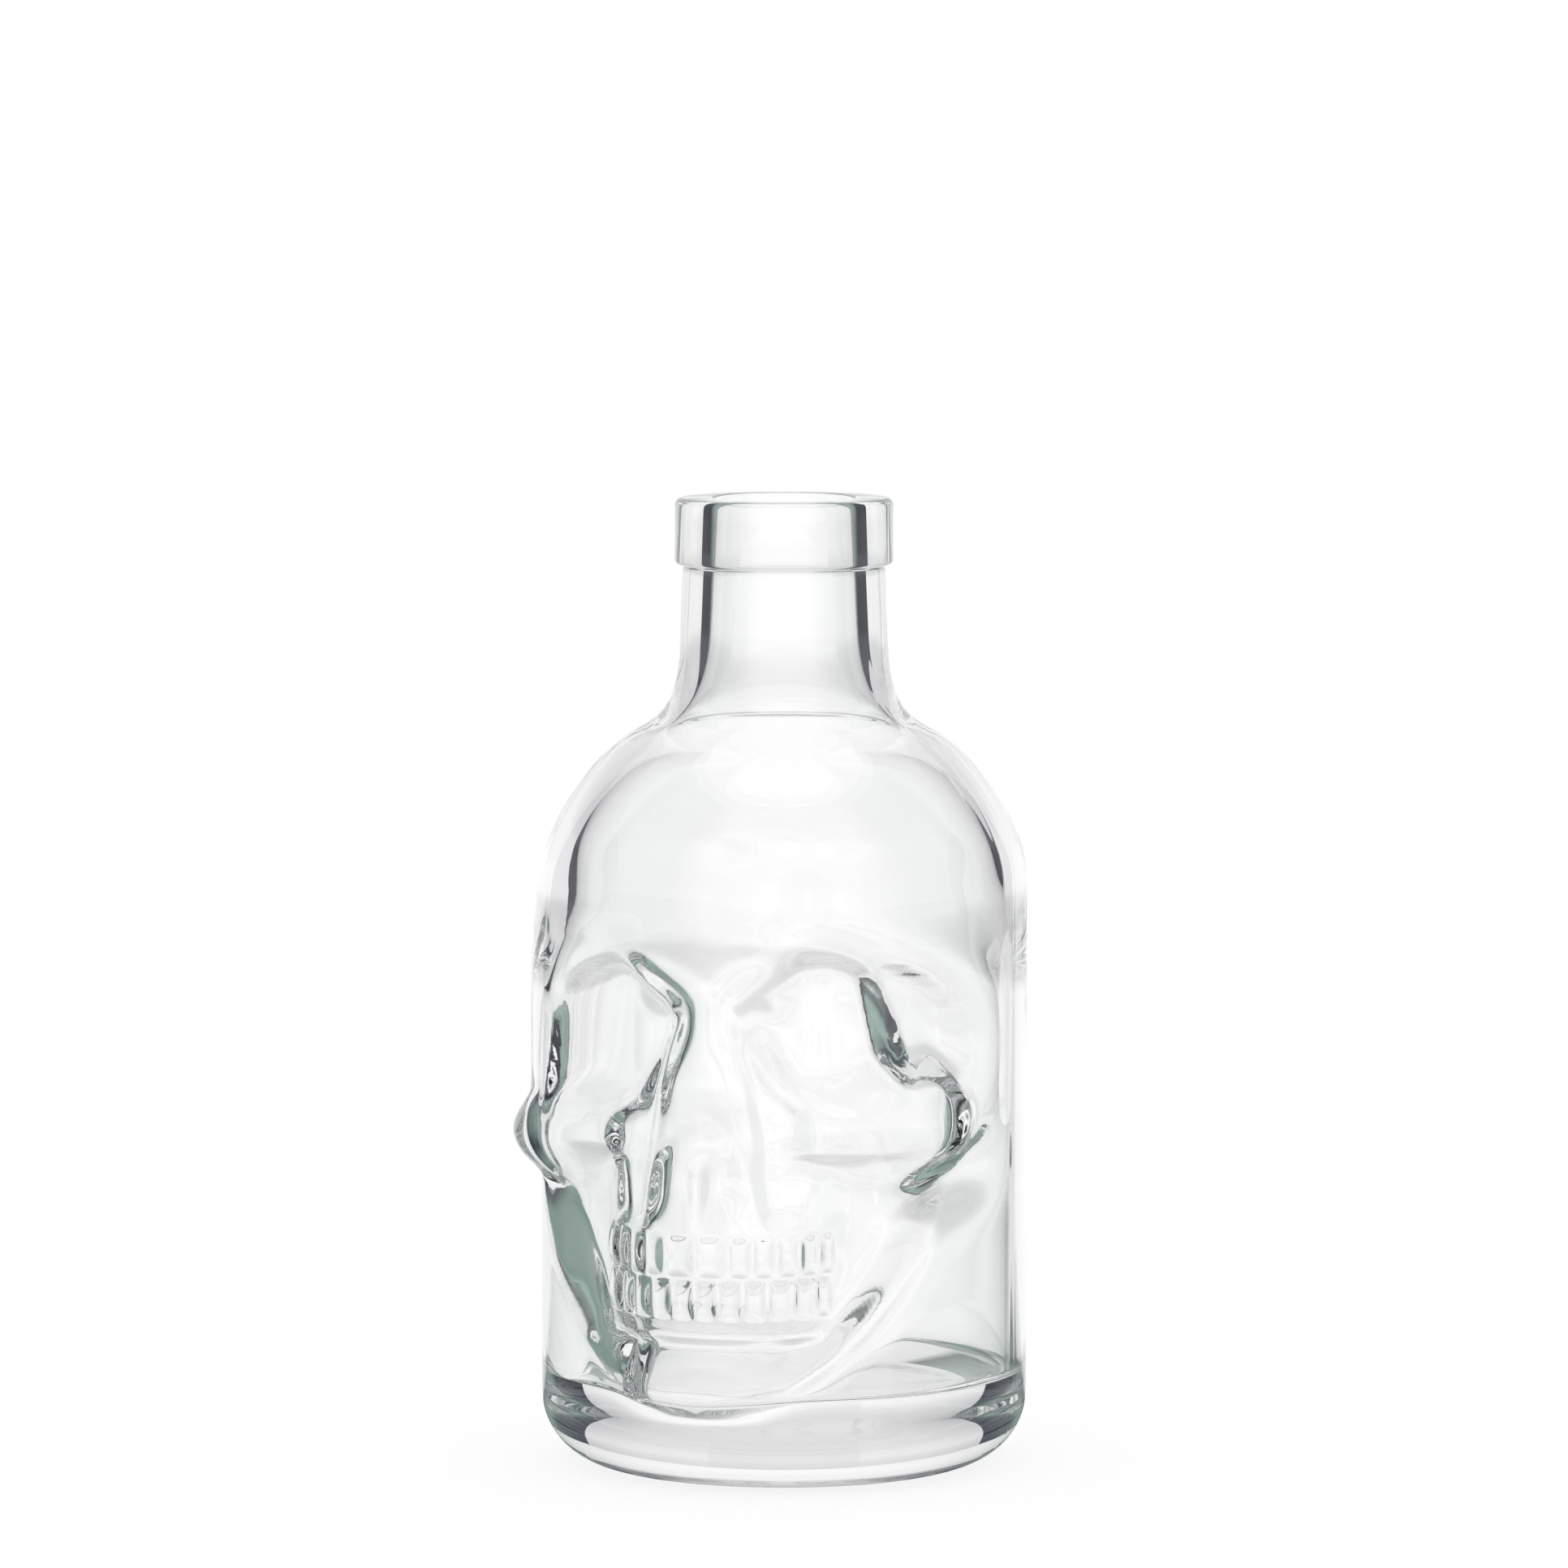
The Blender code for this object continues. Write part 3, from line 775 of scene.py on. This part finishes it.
outside, inside = outlineOutside(), outlineInside()
bottlePiece = turned("bottleGlass", outside + inside, makeGlass())
print("turned", len(bottlePiece.data.vertices), "points,",
      len(outside), "rows outside,", len(inside), "inside")
pressSkull(bottlePiece, len(outside))
closeShell(bottlePiece)

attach(bottlePiece, "root")
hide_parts("glass_bottle")

view = {
    "azimuth": math.radians(19.5),
    "distance": 1.092,
    "height": 0.1935,
    "aimHeight": 0.08945,
    "lens": 191.6,
    "sensorWidth": 36.0,
    "clipStart": 0.05,
    "clipEnd": 50.0,
}


def placeCamera():
    data = bpy.data.cameras.new("photoCamera")
    data.lens = view["lens"]
    data.sensor_width = view["sensorWidth"]
    data.clip_start = view["clipStart"]
    data.clip_end = view["clipEnd"]
    holder = bpy.data.objects.new("photoCamera", data)
    bpy.context.collection.objects.link(holder)
    away, turn = view["distance"], view["azimuth"]
    spot = Vector((away * math.sin(turn), -away * math.cos(turn), view["height"]))
    sight = Vector((0.0, 0.0, view["aimHeight"])) - spot
    holder.matrix_world = Matrix.Translation(spot) @ sight.to_track_quat("-Z", "Y").to_matrix().to_4x4()
    return holder


camera = placeCamera()
bpy.context.scene.camera = camera
bpy.context.view_layer.update()

# shades go by the angle from straight behind the bottle, in degrees
sideShades = (
    (12.0, (1.0, 1.0, 1.0)),
    (25.0, (0.97, 0.97, 0.97)),
    (43.0, (0.86, 0.85, 0.87)),
    (43.4, (0.016, 0.012, 0.026)),
    (61.0, (0.020, 0.016, 0.030)),
    (66.0, (0.20, 0.26, 0.24)),
    (74.0, (0.32, 0.42, 0.385)),
)
studio = {
    "ringRadius": 1.30,
    "ringFoot": 0.05,
    "climbs": (  # degrees above the level
        -25.0, -8.0, 0.0, 2.0, 4.0, 6.0, 8.0, 12.0, 17.0, 22.0, 27.0, 35.0, 45.0, 60.0),
    "angles": (12.0, 180.0, 85),  # first, last and how many
    "sharpEdge": (43.0, 43.4),  # the same as in sideShades
    # the floor card from here out to shadowTo is painted shade of the floor under and round the bottle,
    # seen only in the glass
    "shadowFrom": 0.025,
    "shadowTo": 0.12,
    "tableFrom": 0.30,
    "tableLift": 0.0002,  # the cards lie just above the floor
    "rightShades": sideShades + (
        (88.0, (0.32, 0.42, 0.385)),
        (97.0, (0.11, 0.14, 0.14)),
        (115.0, (0.11, 0.14, 0.14)),
        (137.0, (0.95, 0.95, 0.95)),
        (180.0, (1.0, 1.0, 1.0)),
    ),
    "leftShades": sideShades + (
        (88.0, (0.32, 0.42, 0.385)),
        (97.0, (0.11, 0.14, 0.14)),
        (122.0, (0.11, 0.14, 0.14)),
        (143.0, (0.95, 0.95, 0.95)),
        (180.0, (1.0, 1.0, 1.0)),
    ),
    "tableShades": sideShades + (
        (118.0, (0.32, 0.42, 0.385)),
        (138.0, (0.95, 0.95, 0.95)),
        (180.0, (1.0, 1.0, 1.0)),
    ),
    # tones of the floor card near the bottle; its dark ones, darkest on the camera's side, are painted
    # shade of the floor under and round the bottle
    "nearFloorTonesAndShadow": (
        (12.0, (1.0, 1.0, 1.0)),
        (40.0, (0.90, 0.90, 0.90)),
        (46.0, (0.09, 0.11, 0.11)),
        (56.0, (0.17, 0.23, 0.21)),
        (66.0, (0.22, 0.30, 0.275)),
        (96.0, (0.22, 0.30, 0.275)),
        (112.0, (0.11, 0.14, 0.14)),
        (122.0, (0.030, 0.025, 0.045)),
        (180.0, (0.030, 0.025, 0.045)),
    ),
    "skyShades": ((0.03, 1.0), (0.11, 0.84), (0.21, 0.76), (0.42, 0.80), (1.0, 0.84)),
    "haze": (0.060, 0.057, 0.085),  # the darkest the cards get, above the level
    "hazeFade": (0.02, 0.12),
    "floorHalf": 6.0,
    "floorDrop": 0.00005,
    "floorShade": (0.25, 0.25, 0.25, 1.0),
    "floorGlow": 0.82,
    "bounces": 48,
}


def glowing(name):
    # shows its "shade" colours as light, whatever falls on it
    material = bpy.data.materials.new(name)
    material.use_nodes = True
    nodes, links = material.node_tree.nodes, material.node_tree.links
    nodes.remove(nodes["Principled BSDF"])
    shade = nodes.new("ShaderNodeVertexColor")
    shade.layer_name = "shade"
    glow = nodes.new("ShaderNodeEmission")
    links.new(shade.outputs["Color"], glow.inputs["Color"])
    links.new(glow.outputs[0], nodes["Material Output"].inputs["Surface"])
    return material


def skyShare(rising):
    # how bright the sweep is, by the sine of the angle above the level
    return float(np.interp(rising, *zip(*studio["skyShades"])))


def bandColors(shades, angles):
    places, tones = zip(*shades)
    return np.stack([np.interp(angles, places, band) for band in zip(*tones)], 1)


def hangCard(name, places, faces, colors):
    # seen only in the glass
    data = bpy.data.meshes.new(name)
    data.from_pydata(places, [], faces)
    data.materials.append(glowing(name))
    shade = data.color_attributes.new("shade", "FLOAT_COLOR", "POINT")
    shade.data.foreach_set("color", np.column_stack([colors, np.ones(len(colors))]).ravel())
    card = bpy.data.objects.new(name, data)
    bpy.context.collection.objects.link(card)
    facing = card.constraints.new("LOCKED_TRACK")  # turns round the bottle's axis with the camera
    facing.target = camera
    facing.track_axis = "TRACK_NEGATIVE_Y"
    facing.lock_axis = "LOCK_Z"
    card.visible_camera = False
    card.visible_diffuse = False
    card.visible_shadow = False
    card.visible_volume_scatter = False


def ringCard(name, sign, shades):
    # half of a ring round the bottle, and of the floor inside it; the floor's part near the bottle is
    # painted shade of the floor under and round the bottle
    radius = studio["ringRadius"]
    angles = np.unique(np.concatenate([np.linspace(*studio["angles"]), studio["sharpEdge"]]))
    turns, count = np.radians(angles), len(angles)
    places, colors, faces = [], [], []
    for climb in np.radians(studio["climbs"]):
        height = studio["ringFoot"] + radius * math.tan(climb)
        places += [(sign * (radius * math.sin(turn)), radius * math.cos(turn), height) for turn in turns]
        tones = bandColors(shades, angles) * skyShare(math.sin(climb))
        darkest = np.array(studio["haze"]) * float(rise(climb, *studio["hazeFade"]))
        colors.append(np.maximum(tones, darkest))
    # the floor near the bottle takes the painted shade, and the floor further out takes the table's tones
    reaches = (studio["shadowFrom"], studio["shadowTo"], studio["tableFrom"], radius)
    tableShades = ("nearFloorTonesAndShadow", "nearFloorTonesAndShadow", "tableShades", "tableShades")
    height = studio["tableLift"]
    for reach, tones in zip(reaches, tableShades):
        places += [(sign * reach * math.sin(turn), reach * math.cos(turn), height) for turn in turns]
        colors.append(bandColors(studio[tones], angles))
    wallRows = len(studio["climbs"])
    for row in range(wallRows + len(reaches) - 1):
        if row != wallRows - 1:  # the wall and the floor aren't joined
            for step in range(row * count, row * count + count - 1):
                faces.append((step, step + 1, step + count + 1, step + count))
    hangCard(name, places, faces, np.concatenate(colors))


def layFloor():
    half = studio["floorHalf"]
    data = bpy.data.meshes.new("floor")
    corners = [(-half, -half, 0), (half, -half, 0), (half, half, 0), (-half, half, 0)]
    data.from_pydata(corners, [], [(0, 1, 2, 3)])
    material = bpy.data.materials.new("whiteSweep")
    material.use_nodes = True
    sweep = material.node_tree.nodes["Principled BSDF"]
    sweep.inputs["Base Color"].default_value = studio["floorShade"]
    sweep.inputs["Roughness"].default_value = 1.0
    sweep.inputs["Specular IOR Level"].default_value = 0.0
    sweep.inputs["Emission Color"].default_value = (1.0, 1.0, 1.0, 1.0)
    sweep.inputs["Emission Strength"].default_value = studio["floorGlow"]
    data.materials.append(material)
    floor = bpy.data.objects.new("floor", data)
    bpy.context.collection.objects.link(floor)
    floor.location = (0.0, 0.0, -studio["floorDrop"])


def lightSky():
    # a white sweep, a little darker above the level
    world = bpy.data.worlds.new("whiteStudio")
    bpy.context.scene.world = world
    world.use_nodes = True
    nodes, links = world.node_tree.nodes, world.node_tree.links
    toward = nodes.new("ShaderNodeTexCoord")
    split = nodes.new("ShaderNodeSeparateXYZ")
    ramp = nodes.new("ShaderNodeValToRGB")
    links.new(toward.outputs["Generated"], split.inputs[0])
    links.new(split.outputs["Z"], ramp.inputs[0])
    links.new(ramp.outputs[0], nodes["Background"].inputs["Color"])
    stops = ramp.color_ramp.elements
    stops[0].position, stops[1].position = studio["skyShades"][0][0], studio["skyShades"][-1][0]
    for place, share in studio["skyShades"][1:-1]:
        stops.new(place)
    for stop, (place, share) in zip(stops, studio["skyShades"]):
        stop.color = (share, share, share, 1.0)
    nodes["Background"].inputs["Strength"].default_value = 1.0


ringCard("ringRight", 1.0, studio["rightShades"])
ringCard("ringLeft", -1.0, studio["leftShades"])
layFloor()
lightSky()
print("lit")

scene = bpy.context.scene
scene.view_settings.view_transform = "Standard"
scene.cycles.max_bounces = studio["bounces"]
scene.cycles.transmission_bounces = studio["bounces"]
scene.cycles.glossy_bounces = studio["bounces"]

print("dressed")
